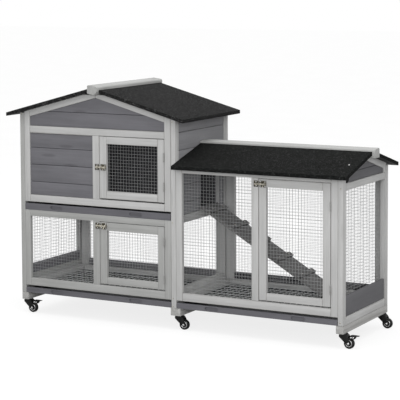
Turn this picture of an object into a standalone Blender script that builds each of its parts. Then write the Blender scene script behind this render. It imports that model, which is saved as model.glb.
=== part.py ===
"""A rabbit hutch on casters: a two-storey house, a wire run beside it, doors, trays and a ramp.

Metres, +Z up. The design is laid out from the front left corner of the house at the underside of the skids,
with X along the front, Y towards the back and Z up. A root empty then moves that corner, so that the world's
origin is the middle of the whole hutch's base, under the wheels.
"""

import math

import bmesh
import bpy
from mathutils import Matrix, Vector

# Driving dimensions.
GAP = 0.0003  # clearance between pieces that touch
LENGTH = 1.420
DEPTH = 0.440
FRAME = 0.020  # thickness of the back and left frames
FRONT = 0.015  # thickness of the front frames and the doors
RECESS = 0.003  # how far the boards stand back from the face of their frame
BOARD = 0.010
SKID = 0.027  # height of the three skids
SKID_LAP = 0.010  # where the side frames' bars start inside their skids
HOUSE = 0.7206  # outer face of the partition between the house and the run
PARTITION = 0.6990  # its inner face
RUN_END = 1.3983  # inner face of the run's end frame
BACK = DEPTH - FRAME  # inner face of the back frames

# Storeys of the house front, from the bottom up.
SOLE = -0.0030  # underside of the skids
TRAY_TOP = 0.0565
RAIL_LOW = 0.0582
SILL_LOW = 0.0885
HEAD_LOW = 0.3423
RAIL_MID = 0.3675
SLOT_TOP = 0.4016
TRAY_DROP = 0.0040  # how far a tray's front stands clear of the rail above it
SLOT_DEPTH = 0.0070  # depth of the finger slots in a tray's front
SILL_UP = 0.4303
HEAD_UP = 0.6810
GABLE = 0.7105
RUN_HEAD = 0.5534
RUN_TOP = 0.5780

# Doors: left edge, right edge, bottom, top, then the opening in the same order.
HOUSE_DOOR_X = (0.3768, 0.6688)
RUN_DOOR_X = (1.0768, 1.3688)
HOUSE_PANE_X = (0.4083, 0.6403)
RUN_PANE_X = (1.1073, 1.3378)
DOOR_GAP = 0.0020
DOOR_LOW = 0.0905  # bottom of the openings of the lower doors
HINGE_Y = -0.0035
BARREL = 0.0024  # radius of a hinge's knuckles

# Openings that boards fill: corners in the plane of their frame.
SIDE_Y = (0.026, 0.410)
PARTITION_Y = (0.027, 0.408)
UPPER_Z = (0.383, 0.748)
PLANKS = [(0.0465, SILL_UP), (0.344, SILL_UP), (0.344, HEAD_UP), (0.0465, HEAD_UP)]
HOUSE_GABLE = [(0.0465, GABLE), (0.671, GABLE), (0.671, 0.748), (0.360, 0.832), (0.0465, 0.748)]
RUN_GABLE = [(0.046, 0.5518), (0.394, 0.5518), (0.394, 0.568), (0.220, 0.617), (0.046, 0.568)]

# Roofs. The heights are those of the felt where the two slopes would meet.
ROOF = 0.014
HOUSE_RIDGE = (0.360, 0.8745)
HOUSE_SLOPE = 0.2735
RUN_RIDGE = (0.220, 0.6556)
RUN_SLOPE = 0.2717

# Ramp.
RAMP_PIVOT = (0.7280, 0.3934)
RAMP_ANGLE = math.radians(30.37)
RAMP_LENGTH = 0.6425
RAMP_Y = (0.200, 0.330)
PLANK = 0.012

# Casters.
WHEEL = 0.020  # radius
WHEEL_WIDTH = 0.016
WHEEL_TRAIL = 0.021
AXLE_DROP = 0.037
PEDAL = 0.0605  # reach of a brake pedal from its caster's swivel
CASTER_X = {"left": 0.013, "middle": 0.720, "right": 1.4115}
CASTER_Y = {"front": 0.030, "back": 0.410}

WIRE_PITCH = 0.080  # the CAD lattices are coarse; each stands for half-inch welded mesh
WIRE = 0.003

# The whole hutch's box, from the eaves, the ends of the ridge boards and the wheels.
LOWEST = SOLE - AXLE_DROP - WHEEL
LEFT_EAVE = -0.052
RUN_BEAM_END = 1.460
FRONT_END = -0.039
BACK_END = 0.478
RIGHT_END = CASTER_X["right"] + PEDAL  # the front right brake pedal reaches past the ridge board
ORIGIN = Vector(((LEFT_EAVE + RIGHT_END) / 2, (FRONT_END + BACK_END) / 2, LOWEST))

UPRIGHT = Matrix.Rotation(math.pi / 2, 4, "X")
PLANES = {  # how a drawing is turned into its plane, and the axis that its thickness then runs along
    "xy": (Matrix.Identity(4), 2),
    "xz": (UPRIGHT, 1),
    "yz": (Matrix.Rotation(math.pi / 2, 4, "Z") @ UPRIGHT, 0),
}


# ---------------------------------------------------------------- scene helpers


def clear_scene():
    for obj in list(bpy.data.objects):
        bpy.data.objects.remove(obj)


def collection(name, hidden=False):
    made = bpy.data.collections.new(name)
    bpy.context.scene.collection.children.link(made)
    made.hide_render = hidden
    return made


def material(name, colour, roughness, metallic=0.0):
    made = bpy.data.materials.new(name)
    made.use_nodes = True
    shader = made.node_tree.nodes["Principled BSDF"]
    shader.inputs["Base Color"].default_value = (*colour, 1)
    shader.inputs["Roughness"].default_value = roughness
    shader.inputs["Metallic"].default_value = metallic
    made.diffuse_color = (*colour, 1)
    return made


def empty(name, place, parent):
    """An empty at a design point, under the root or another empty."""
    made = bpy.data.objects.new(name, None)
    made.empty_display_size = 0.02
    PARTS.objects.link(made)
    made.parent = parent
    made["at"] = place
    made.location = Vector(place) - (Vector(parent["at"]) if parent else Vector())
    return made


def put(obj, finish, parent=None):
    """Files a finished piece: its material, its collection and its parent."""
    obj.data.materials.clear()
    obj.data.materials.append(finish)
    holder = parent or ROOT
    obj.parent = holder
    obj.location -= Vector(holder["at"])
    return obj


# ---------------------------------------------------------------- shapes


def mesh_object(name, mesh):
    obj = bpy.data.objects.new(name, mesh)
    PARTS.objects.link(obj)
    return obj


def box(name, low, high):
    """A box between two design corners, with its origin at its middle."""
    low, high = Vector(low), Vector(high)
    shape = bmesh.new()
    bmesh.ops.create_cube(shape, size=1, matrix=Matrix.Diagonal((*(high - low), 1)))
    mesh = bpy.data.meshes.new(name)
    shape.to_mesh(mesh)
    shape.free()
    obj = mesh_object(name, mesh)
    obj.location = (low + high) / 2
    return obj


def rod(name, start, end, radius, segments=16):
    """A cylinder between two design points."""
    start, end = Vector(start), Vector(end)
    shape = bmesh.new()
    bmesh.ops.create_cone(
        shape,
        cap_ends=True,
        segments=segments,
        radius1=radius,
        radius2=radius,
        depth=(end - start).length,
    )
    turn = (end - start).to_track_quat("Z", "Y").to_matrix().to_4x4()
    bmesh.ops.transform(shape, matrix=turn, verts=shape.verts)
    mesh = bpy.data.meshes.new(name)
    shape.to_mesh(mesh)
    shape.free()
    smooth(mesh)
    obj = mesh_object(name, mesh)
    obj.location = (start + end) / 2
    return obj


def smooth(mesh):
    for polygon in mesh.polygons:
        polygon.use_smooth = True
    mesh.set_sharp_from_angle(angle=math.radians(35))


def rectangle(u, v):
    return [(u[0], v[0]), (u[1], v[0]), (u[1], v[1]), (u[0], v[1])]


def rounded(corners, steps=3):
    """The outline through (u, v, radius) corners, each rounded by its own radius."""
    outline = []
    for index, (u, v, radius) in enumerate(corners):
        corner = Vector((u, v))
        if radius == 0:
            outline.append(corner)
            continue
        following = corners[(index + 1) % len(corners)]
        before = (Vector(corners[index - 1][:2]) - corner).normalized()
        after = (Vector(following[:2]) - corner).normalized()
        half = before.angle(after) / 2
        centre = corner + (before + after).normalized() * radius / math.sin(half)
        first = corner + before * radius / math.tan(half) - centre
        last = corner + after * radius / math.tan(half) - centre
        sweep = math.atan2(first.cross(last), first.dot(last))
        for step in range(steps + 1):
            outline.append(centre + Matrix.Rotation(sweep * step / steps, 2) @ first)
    return outline


def plate(name, plane, outline, holes, start, thickness):
    """A flat plate with holes, drawn in a plane and as thick as said from its start on the third axis."""
    curve = bpy.data.curves.new(name, "CURVE")
    curve.dimensions = "2D"
    curve.fill_mode = "BOTH"
    curve.extrude = thickness / 2
    for ring in [outline, *holes]:
        spline = curve.splines.new("POLY")
        spline.points.add(len(ring) - 1)
        for point, (u, v) in zip(spline.points, ring):
            point.co = (u, v, 0, 1)
        spline.use_cyclic_u = True
    drawing = bpy.data.objects.new(name, curve)
    mesh = bpy.data.meshes.new_from_object(drawing)
    bpy.data.objects.remove(drawing)
    bpy.data.curves.remove(curve)
    shape = bmesh.new()
    shape.from_mesh(mesh)
    bmesh.ops.remove_doubles(shape, verts=shape.verts, dist=1e-6)
    turn, axis = PLANES[plane]
    bmesh.ops.transform(shape, matrix=turn, verts=shape.verts)
    bmesh.ops.recalc_face_normals(shape, faces=shape.faces)
    shape.to_mesh(mesh)
    shape.free()
    mesh.name = name
    obj = mesh_object(name, mesh)
    obj.location[axis] = start + thickness / 2
    return obj


def helper(obj, owner):
    """Hides a Boolean's second shape and ties it to the piece that it shapes."""
    PARTS.objects.unlink(obj)
    CUTTERS.objects.link(obj)
    obj.hide_render = True
    obj.display_type = "WIRE"
    obj.parent = owner
    obj.location -= owner.location


def fuse(obj, *others, operation="UNION"):
    for other in others:
        helper(other, obj)
        step = obj.modifiers.new(other.name, "BOOLEAN")
        step.operation = operation
        step.solver = "EXACT"
        step.object = other
    return obj


def cut(obj, *others):
    return fuse(obj, *others, operation="DIFFERENCE")


def cells(u, v):
    """The open cells of a wire lattice that fills a rectangle."""
    across = max(2, round((u[1] - u[0]) / WIRE_PITCH))
    up = max(2, round((v[1] - v[0]) / WIRE_PITCH))
    wide = (u[1] - u[0] - WIRE) / across
    high = (v[1] - v[0] - WIRE) / up
    found = []
    for column in range(across):
        for row in range(up):
            left = u[0] + WIRE + column * wide
            low = v[0] + WIRE + row * high
            found.append(rectangle((left, left + wide - WIRE), (low, low + high - WIRE)))
    return found


def lattice(name, plane, u, v, start, thickness=0.002):
    return plate(name, plane, rectangle(u, v), cells(u, v), start, thickness)


def wider(span, by):
    return (span[0] - by, span[1] + by)


# ---------------------------------------------------------------- roof lines


def house_under(x):
    """Underside of the house's roof, with a gap."""
    across, top = HOUSE_RIDGE
    return top - abs(x - across) * HOUSE_SLOPE - ROOF - 2 * GAP


def run_under(y):
    across, top = RUN_RIDGE
    return top - abs(y - across) * RUN_SLOPE - ROOF - 2 * GAP


def house_gable(left, right, bottom):
    """A gable outline that reaches the house's roof and the underside of its ridge board."""
    crown = 0.8443
    reach = (house_under(HOUSE_RIDGE[0]) - crown) / HOUSE_SLOPE
    return [
        (left, bottom),
        (right, bottom),
        (right, house_under(right)),
        (HOUSE_RIDGE[0] + reach, crown),
        (HOUSE_RIDGE[0] - reach, crown),
        (left, house_under(left)),
    ]


def run_gable(front, back, bottom):
    crown = 0.6250
    reach = (run_under(RUN_RIDGE[0]) - crown) / RUN_SLOPE
    return [
        (front, bottom),
        (back, bottom),
        (back, run_under(back)),
        (RUN_RIDGE[0] + reach, crown),
        (RUN_RIDGE[0] - reach, crown),
        (front, run_under(front)),
    ]


# ---------------------------------------------------------------- frames


def skid(name, left, right):
    """The foot of a side frame, set in from the frame's front edge by half a millimetre."""
    return box(name, (left, 0.0005, SOLE), (right, DEPTH - 0.0005, SKID))


def runner(name, left, right):
    """The batten that an upper tray slides on."""
    return box(name, (left, 0.031, 0.3553), (right, 0.410, RAIL_MID))


def door_hole(door_x, low, high):
    return rectangle(wider(door_x, DOOR_GAP), (low, high))


def make_front_frames():
    upper_holes = [
        PLANKS,
        door_hole(HOUSE_DOOR_X, SILL_UP + 0.0018, HEAD_UP + 0.0025),
        HOUSE_GABLE,
    ]
    outline = house_gable(FRAME + GAP, PARTITION - GAP, SLOT_TOP)
    put(plate("house_upper_front_frame", "xz", outline, upper_holes, 0, FRONT), WHITEWASH)
    lower_holes = [
        rectangle((0.0452, 0.344), (SILL_LOW, HEAD_LOW)),
        door_hole(HOUSE_DOOR_X, DOOR_LOW, HEAD_LOW),
    ]
    outline = rectangle((FRAME + GAP, PARTITION - GAP), (RAIL_LOW, RAIL_MID))
    put(plate("house_lower_front_frame", "xz", outline, lower_holes, 0, FRONT), WHITEWASH)
    run_holes = [
        rectangle((0.7483, 1.0462), (SILL_LOW, RUN_HEAD)),
        door_hole(RUN_DOOR_X, DOOR_LOW, RUN_HEAD + 0.0017),
    ]
    outline = rectangle((HOUSE + GAP, RUN_END - GAP), (RAIL_LOW, RUN_TOP))
    put(plate("run_front_frame", "xz", outline, run_holes, 0, FRONT), WHITEWASH)


def make_side_frames():
    back = BACK - GAP
    eave = house_under(0)
    left_holes = [
        rectangle(SIDE_Y, (0.135, 0.352)),
        rectangle(SIDE_Y, UPPER_Z),
    ]
    outline = rectangle((0, back), (SKID_LAP, eave))
    left = plate("house_left_frame", "yz", outline, left_holes, 0, FRAME)
    fuse(left, skid("left_skid", -0.0005, 0.030), runner("left_runner", 0.010, 0.034))
    put(left, WHITEWASH)
    partition_holes = [
        rectangle(PARTITION_Y, (0.097, 0.352)),
        rectangle(PARTITION_Y, UPPER_Z),
    ]
    outline = rectangle((0, back), (SKID_LAP, house_under(HOUSE)))
    wall = HOUSE - PARTITION
    partition = plate("house_partition_frame", "yz", outline, partition_holes, PARTITION, wall)
    fuse(partition, skid("middle_skid", 0.695, 0.738), runner("right_runner", 0.686, 0.705))
    put(partition, WHITEWASH)
    end_holes = [
        rectangle(SIDE_Y, (TRAY_TOP, 0.5255)),
        RUN_GABLE,
    ]
    outline = run_gable(0, back, SKID_LAP)
    end = plate("run_end_frame", "yz", outline, end_holes, RUN_END, LENGTH - RUN_END)
    fuse(end, skid("right_skid", 1.391, LENGTH + 0.0005))
    put(end, WHITEWASH)


def make_back_frames():
    house = plate(
        "house_back_frame",
        "xz",
        house_gable(0, HOUSE, SKID + GAP),
        [rectangle((0.0555, 0.6744), (0.102, HEAD_LOW))],
        BACK,
        FRAME,
    )
    put(house, WHITEWASH)
    run = plate(
        "run_back_frame",
        "xz",
        rectangle((HOUSE + GAP, LENGTH), (SKID + GAP, RUN_TOP)),
        [rectangle((0.7575, 1.374), (0.102, RUN_HEAD))],
        BACK,
        FRAME,
    )
    put(run, WHITEWASH)


# ---------------------------------------------------------------- boards and wire


def inset(outline):
    """The outline of a board that fills an opening, a gap smaller all round."""
    centre = sum((Vector(corner) for corner in outline), Vector((0, 0))) / len(outline)
    size = max((Vector(corner) - centre).length for corner in outline)
    shift = [(centre - Vector(corner)) * 3 * GAP / size for corner in outline]
    return [Vector(corner) + step for corner, step in zip(outline, shift)]


def snug(hole):
    """A rectangular hole's corners, drawn in by the gap."""
    (left, low), (right, high) = hole[0], hole[2]
    return rectangle((left + GAP, right - GAP), (low + GAP, high - GAP))


def make_boards():
    """Tongued boards that fill the openings of their frames, a little behind the frames' faces."""
    thickness = FRONT + 0.0023 - RECESS
    boards = plate("house_front_boards", "xz", snug(PLANKS), [], RECESS, thickness)
    gable = plate("gable_boards", "xz", inset(HOUSE_GABLE), [], RECESS, thickness)
    cleat = box("boards_cleat", (0.060, FRONT + GAP, 0.660), (0.330, FRONT + 0.007, 0.735))
    put(fuse(boards, gable, cleat), STAIN)
    opening = rectangle(SIDE_Y, UPPER_Z)
    put(plate("house_left_boards", "yz", snug(opening), [], RECESS, BOARD), STAIN)
    corners = snug(rectangle(PARTITION_Y, UPPER_Z))
    low = corners[0][1]
    doorway = [(0.207, low), (0.207, 0.555), (0.385, 0.555), (0.385, low)]
    outer = HOUSE - RECESS - BOARD
    outline = [corners[0], *doorway, *corners[1:]]
    put(plate("house_partition_boards", "yz", outline, [], outer, BOARD), STAIN)
    outer = LENGTH - RECESS - BOARD
    put(plate("run_gable_boards", "yz", inset(RUN_GABLE), [], outer, BOARD), STAIN)
    opening = rectangle(SIDE_Y, (TRAY_TOP, 0.1353))
    put(plate("end_kick_board", "yz", snug(opening), [], outer, BOARD), STAIN)


def make_wire_panels():
    front = FRONT + GAP
    back = BACK - GAP - 0.002
    lap = 0.0098  # how far the mesh runs behind the frame's bars
    low = (SILL_LOW - lap, HEAD_LOW + lap)
    put(lattice("house_front_mesh", "xz", (0.0354, 0.3538), low, front), GALVANISED)
    put(lattice("house_left_mesh", "yz", (0.0206, 0.4175), (0.1253, 0.3545), FRAME + GAP), GALVANISED)
    put(lattice("house_back_mesh", "xz", (0.0456, 0.6843), low, back), GALVANISED)
    tall = (SILL_LOW - lap, RUN_HEAD + lap)
    put(lattice("run_front_mesh", "xz", (0.7385, 1.056), tall, front), GALVANISED)
    put(lattice("run_back_mesh", "xz", (0.7477, 1.384), tall, back), GALVANISED)
    end = RUN_END - GAP - 0.002
    put(lattice("run_end_mesh", "yz", (0.0206, 0.4175), (0.1353, 0.5353), end), GALVANISED)


def make_floors():
    """Each floor is a wooden frame with a wire panel let into it."""
    across = (FRAME + 2 * GAP, BACK - 2 * GAP)
    spans = {"house_floor": (across[0], PARTITION - 2 * GAP), "run_floor": (HOUSE + 2 * GAP, 1.3876)}
    for name, span in spans.items():
        inner_x, inner_y = wider(span, -0.036), wider(across, -0.036)
        hole = rectangle(inner_x, inner_y)
        floor = plate(name, "xy", rectangle(span, across), [hole], 0.060, 0.016)
        wire = lattice(name + "_wire", "xy", wider(inner_x, 0.005), wider(inner_y, 0.005), 0.0608)
        put(fuse(floor, wire), WHITEWASH)


# ---------------------------------------------------------------- roofs


def make_roofs():
    across, top = HOUSE_RIDGE
    front, back = -0.0235, 0.463
    beam = (across - 0.014, across + 0.031)
    for name, eave, ridge in (("left", LEFT_EAVE, beam[0]), ("right", 0.765, beam[1])):
        ridge += math.copysign(GAP, eave - ridge)
        levels = [top - abs(x - across) * HOUSE_SLOPE for x in (eave, ridge)]
        outline = [(eave, levels[0] - ROOF), (ridge, levels[1] - ROOF), (ridge, levels[1]), (eave, levels[0])]
        put(plate(f"house_roof_{name}", "xz", outline, [], front, back - front), HOUSE_FELT)
    corners = [
        (beam[0], 0.8565, 0),
        (beam[1], 0.8455, 0),
        (beam[1], 0.8795, 0.006),
        (beam[0], 0.8855, 0.006),
    ]
    length = BACK_END - FRONT_END
    put(plate("house_ridge_board", "xz", rounded(corners), [], FRONT_END, length), WHITEWASH)


def make_run_roofs():
    across, top = RUN_RIDGE
    start, end = HOUSE + GAP, 1.448
    beam = (across - 0.014, across + 0.0305)
    for name, eave, ridge in (("front", -0.038, beam[0]), ("back", 0.478, beam[1])):
        ridge += math.copysign(GAP, eave - ridge)
        levels = [top - abs(y - across) * RUN_SLOPE for y in (eave, ridge)]
        outline = [(eave, levels[0] - ROOF), (ridge, levels[1] - ROOF), (ridge, levels[1]), (eave, levels[0])]
        put(plate(f"run_roof_{name}", "yz", outline, [], start, end - start), RUN_FELT)
    corners = [
        (beam[0], 0.6285, 0),
        (beam[1], 0.6265, 0),
        (beam[1], 0.6650, 0.006),
        (beam[0], 0.6600, 0.006),
    ]
    start = HOUSE - RECESS + GAP
    length = RUN_BEAM_END - start
    put(plate("run_ridge_board", "yz", rounded(corners), [], start, length), WHITEWASH)


# ---------------------------------------------------------------- doors


def make_hinge(name, pivot, z):
    x = pivot["at"][0]
    barrel = rod(name, (x, HINGE_Y, z - 0.0175), (x, HINGE_Y, z + 0.0175), BARREL, 12)
    leaf = box(name + "_leaf", (x - 0.0002, HINGE_Y, z - 0.0165), (x + 0.0006, FRONT - 0.002, z + 0.0165))
    put(fuse(barrel, leaf), ZINC)


def make_latch(prefix, x, z, pivot):
    """A barrel bolt: its body is on the door's stile, and the bolt slides into the frame's mullion."""
    y = -0.0064
    body = box(prefix + "_latch", (x, -0.0018, z - 0.012), (x + 0.0285, -GAP, z + 0.012))
    sleeve = rod(prefix + "_latch_sleeve", (x + 0.0015, y, z), (x + 0.0125, y, z), 0.0050)
    bore = rod(prefix + "_latch_bore", (x - 0.001, y, z), (x + 0.015, y, z), 0.0034)
    fuse(body, sleeve)
    cut(body, bore)
    put(body, ZINC, pivot)
    middle = empty(prefix + "_bolt_slide", (x, y, z), pivot)
    bolt = rod(prefix + "_bolt", (x - 0.018, y, z), (x + 0.0215, y, z), 0.0030)
    tip = (x + 0.018, y - 0.0045, z - 0.0115)
    fuse(bolt, rod(prefix + "_bolt_knob", (x + 0.018, y, z), tip, 0.0024, 10))
    put(bolt, ZINC, middle)


def make_door(prefix, door_x, pane_x, heights, hinge_heights, latch_z):
    """A framed wire door, its pivot, its butt hinges and its latch."""
    low, pane_low, pane_high, high = heights
    pivot = empty(prefix + "_door_hinge", (door_x[1] + DOOR_GAP / 2, HINGE_Y, 0), ROOT)
    pane = (pane_low, pane_high)
    hole = rectangle(pane_x, pane)
    door = plate(prefix + "_door", "xz", rectangle(door_x, (low, high)), [hole], 0, FRONT)
    wire = lattice(prefix + "_door_wire", "xz", wider(pane_x, 0.004), wider(pane, 0.004), FRONT - 0.004)
    fuse(door, wire)
    put(door, WHITEWASH, pivot)
    for place, z in hinge_heights.items():
        make_hinge(f"{prefix}_door_{place}_hinge", pivot, z)
    make_latch(prefix, door_x[0] + 0.0025, latch_z, pivot)


def make_doors():
    heights = (0.4341, 0.4650, 0.6520, 0.6815)
    hinges = {"lower": 0.497, "upper": 0.612}
    make_door("house_upper", HOUSE_DOOR_X, HOUSE_PANE_X, heights, hinges, 0.559)
    heights = (0.0925, 0.1213, 0.3079, 0.3403)
    hinges = {"lower": 0.135, "upper": 0.281}
    make_door("house_lower", HOUSE_DOOR_X, HOUSE_PANE_X, heights, hinges, 0.325)
    heights = (0.0925, 0.1213, 0.5225, 0.5530)
    hinges = {"lower": 0.158, "upper": 0.467}
    make_door("run", RUN_DOOR_X, RUN_PANE_X, heights, hinges, 0.534)


# ---------------------------------------------------------------- trays and ramp


def make_tray(name, span, low, high, slots):
    """A drawer-like tray: a wooden front with finger slots, and a shallow pan behind it."""
    pivot = empty(name + "_slide", (sum(span) / 2, 0, low), ROOT)
    wall = 0.0018
    front = 0.012
    floor = low + 0.0005
    pan_x = wider(span, -0.011)
    tray = box(name, (span[0], 0, low), (span[1], front, high))
    fuse(tray, box(name + "_pan", (pan_x[0], front / 2, floor), (pan_x[1], 0.405, low + 0.0175)))
    inside_x = wider(pan_x, -wall)
    cut(tray, box(name + "_inside", (inside_x[0], front, floor + wall), (inside_x[1], 0.405 - wall, high)))
    middle = (low + high) / 2
    for index, slot in enumerate(slots):
        corners = [(*corner, 0.0065) for corner in rectangle(slot, (middle - 0.007, middle + 0.007))]
        cut(tray, plate(f"{name}_slot_{index}", "xz", rounded(corners), [], -0.005, 0.005 + SLOT_DEPTH))
    put(tray, TRAY, pivot)


def make_trays():
    house = (FRAME + 2 * GAP, PARTITION - 2.5 * GAP)
    run = (HOUSE + 2 * GAP, RUN_END - 2 * GAP)
    low = (SKID + GAP, TRAY_TOP - TRAY_DROP)
    make_tray("upper_tray", house, RAIL_MID + GAP, SLOT_TOP - TRAY_DROP, [(0.142, 0.199), (0.512, 0.569)])
    make_tray("lower_house_tray", house, *low, [(0.141, 0.198), (0.509, 0.566)])
    make_tray("run_tray", run, *low, [(0.8450, 0.9020), (1.2100, 1.2670)])


def make_ramp():
    """A cleated plank, hinged under the doorway and resting on the run's floor."""
    x, z = RAMP_PIVOT
    pivot = empty("ramp_hinge", (x, sum(RAMP_Y) / 2, z), ROOT)
    half = PLANK / 2
    corners = [(0, -half, 0), (RAMP_LENGTH, -half, 0), (RAMP_LENGTH, half, 0), (0, half, 0)]
    nose = [(-half * math.sin(a), half * math.cos(a)) for a in (math.pi * k / 8 for k in range(1, 8))]
    outline = [corner[:2] for corner in corners] + nose
    width = RAMP_Y[1] - RAMP_Y[0]
    ramp = plate("ramp", "xz", outline, [], -width / 2, width)
    for index in range(5):
        middle = 0.038 + index * 0.112
        corners = [
            (middle - 0.014, 0, 0),
            (middle + 0.014, 0, 0),
            (middle + 0.014, half + 0.008, 0.004),
            (middle - 0.014, half + 0.008, 0.004),
        ]
        fuse(ramp, plate(f"ramp_cleat_{index}", "xz", rounded(corners), [], 0.0005 - width / 2, width - 0.001))
    ramp.location = ramp.location + Vector(pivot["at"])
    put(ramp, RAMP, pivot)
    ramp.rotation_euler.y = RAMP_ANGLE


# ---------------------------------------------------------------- casters


def make_wheel(name, parent, x, y):
    """A tyre-like disc with a bore for its axle, rounded at the rims."""
    z = SOLE - AXLE_DROP
    half = WHEEL_WIDTH / 2
    wheel = rod(name, (x, y - half, z), (x, y + half, z), WHEEL, 32)
    rim = wheel.modifiers.new("rim", "BEVEL")
    rim.width = 0.002
    rim.segments = 2
    rim.limit_method = "ANGLE"
    cut(wheel, rod(name + "_bore", (x, y - 0.02, z), (x, y + 0.02, z), 0.0033, 16))
    put(wheel, CASTER_GREY, parent)


def make_caster(name, x, y, braked):
    swivel = empty(name + "_swivel", (x, y, SOLE), ROOT)
    corners = [
        (-0.0165, -0.0006, 0),
        (0.0180, -0.0006, 0.003),
        (0.0230, -0.0145, 0.004),
        (0.0290, -0.0330, 0.006),
        (0.0270, -0.0440, 0.005),
        (0.0150, -0.0440, 0.005),
        (-0.0165, -0.0130, 0.003),
    ]
    outline = [(x + u, SOLE + v) for u, v in rounded(corners)]
    fork = plate(name + "_fork", "xz", outline, [], y - 0.013, 0.026)
    axle_x = x + WHEEL_TRAIL
    axle_z = SOLE - AXLE_DROP
    low, high = SOLE - 0.060, SOLE - 0.014
    cut(fork, box(name + "_slot", (x - 0.0015, y - 0.0092, low), (x + 0.045, y + 0.0092, high)))
    fuse(fork, rod(name + "_axle", (axle_x, y - 0.0125, axle_z), (axle_x, y + 0.0125, axle_z), 0.003))
    put(fork, BLACK, swivel)
    make_wheel(name + "_wheel", empty(name + "_spin", (axle_x, y, axle_z), swivel), axle_x, y)
    if braked:
        hinge = empty(name + "_brake_hinge", (x + 0.0275, y, SOLE - 0.0072), swivel)
        corners = [
            (0.0262, -0.0155),
            (0.0400, -0.0165),
            (0.0440, -0.0120),
            (PEDAL, -0.0080),
            (PEDAL, -0.0058),
            (0.0262, -0.0058),
        ]
        outline = [(x + u, SOLE + v) for u, v in corners]
        put(plate(name + "_brake_pedal", "xz", outline, [], y - 0.0095, 0.019), BLACK, hinge)


def make_casters():
    for row, y in CASTER_Y.items():
        for column, x in CASTER_X.items():
            braked = row == "front" and column != "middle"
            make_caster(f"{row}_{column}_caster", x, y, braked)


# ---------------------------------------------------------------- the hutch

clear_scene()
PARTS = collection("rabbit_hutch")
CUTTERS = collection("cutters", hidden=True)
WHITEWASH = material("whitewashed_wood", (0.50, 0.50, 0.48), 0.75)
STAIN = material("grey_stained_boards", (0.15, 0.15, 0.16), 0.75)
HOUSE_FELT = material("house_roof_felt", (0.042, 0.042, 0.043), 0.95)
RUN_FELT = material("run_roof_felt", (0.021, 0.023, 0.021), 0.95)
TRAY = material("tray_wood", (0.14, 0.14, 0.155), 0.7)
RAMP = material("ramp_wood", (0.13, 0.13, 0.13), 0.75)
GALVANISED = material("galvanised_wire", (0.55, 0.56, 0.57), 0.4, 0.9)
ZINC = material("antique_zinc", (0.16, 0.14, 0.11), 0.45, 0.9)
BLACK = material("black_plastic", (0.02, 0.02, 0.02), 0.45)
CASTER_GREY = material("wheel_plastic", (0.05, 0.05, 0.05), 0.5)
ROOT = empty("hutch", (0, 0, 0), None)

make_front_frames()
make_side_frames()
make_back_frames()
make_boards()
make_wire_panels()
make_floors()
make_roofs()
make_run_roofs()
make_doors()
make_trays()
make_ramp()
make_casters()
ROOT.location = -ORIGIN
bpy.context.view_layer.update()
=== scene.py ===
"""Looks for the rabbit hutch: whitewashed timber, stained boards, felt roofs, wire mesh and ironmongery.

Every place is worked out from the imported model. The design's own corner is the house's front left foot.
The numbers below are metres from it: x along the front, y to the back and z up.
"""

import math
import random

import bmesh
import bpy
from mathutils import Matrix, Vector


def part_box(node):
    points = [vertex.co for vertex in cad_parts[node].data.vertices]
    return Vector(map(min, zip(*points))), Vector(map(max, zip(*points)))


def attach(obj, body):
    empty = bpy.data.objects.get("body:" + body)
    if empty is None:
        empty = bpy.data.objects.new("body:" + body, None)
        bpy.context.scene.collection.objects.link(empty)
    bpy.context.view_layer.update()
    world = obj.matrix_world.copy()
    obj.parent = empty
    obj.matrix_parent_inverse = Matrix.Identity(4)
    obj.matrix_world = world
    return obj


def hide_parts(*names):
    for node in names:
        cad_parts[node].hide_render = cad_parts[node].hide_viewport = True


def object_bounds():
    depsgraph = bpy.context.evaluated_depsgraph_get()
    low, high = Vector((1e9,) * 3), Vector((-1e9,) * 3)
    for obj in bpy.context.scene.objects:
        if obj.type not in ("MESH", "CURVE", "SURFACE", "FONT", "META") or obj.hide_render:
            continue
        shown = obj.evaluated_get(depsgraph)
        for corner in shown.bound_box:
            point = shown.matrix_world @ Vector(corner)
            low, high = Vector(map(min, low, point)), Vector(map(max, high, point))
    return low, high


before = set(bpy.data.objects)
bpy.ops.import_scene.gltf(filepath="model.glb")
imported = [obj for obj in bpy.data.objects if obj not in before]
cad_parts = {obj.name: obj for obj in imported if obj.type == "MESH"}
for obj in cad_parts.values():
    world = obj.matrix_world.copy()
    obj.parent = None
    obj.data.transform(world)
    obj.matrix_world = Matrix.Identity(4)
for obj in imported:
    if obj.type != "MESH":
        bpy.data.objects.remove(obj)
cad_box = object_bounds()

CORNER = Vector((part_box("house_left_boards")[0].x - 0.003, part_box("house_upper_front_frame")[0].y, 0))
CORNER.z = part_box("house_back_frame")[0].z - 0.0273


def span(node):
    """A CAD node's box as ((x0, x1), (y0, y1), (z0, z1)) from the design's corner."""
    low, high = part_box(node)
    return tuple(zip(low - CORNER, high - CORNER))


LENGTH = span("run_end_frame")[0][1] - 0.0005
HOUSE = span("house_back_frame")[0][1]  # right side of the house
FRONT = span("house_upper_front_frame")[1]  # near and far faces of the front frames and doors
BACK = span("house_back_frame")[1]
SOLE = span("house_left_frame")[2][0]  # underside of the skids
SKID = 0.027  # top of the skids
FEET = SKID + 0.0003  # where the posts start
SKID_Y = (0.0005, 0.4395)
SIDE = 0.020  # thickness of the left frame
POST_BACK = 0.4197  # back of the side frames' posts
RECESS = 0.003  # how far the boards stand back from the face of their frame
BOARD = 0.010
ROOF = 0.014
HOUSE_RIDGE = (0.360, 0.8745)  # x and z of the felt's top line
HOUSE_SLOPE = 0.2735
RUN_RIDGE = (0.220, 0.6556)  # y and z of the felt's top line
RUN_SLOPE = 0.2717
MESH = 0.0127  # half an inch
WIRE = 0.00052  # radius
KNUCKLE = 0.0024  # radius of a hinge's barrel

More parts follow.
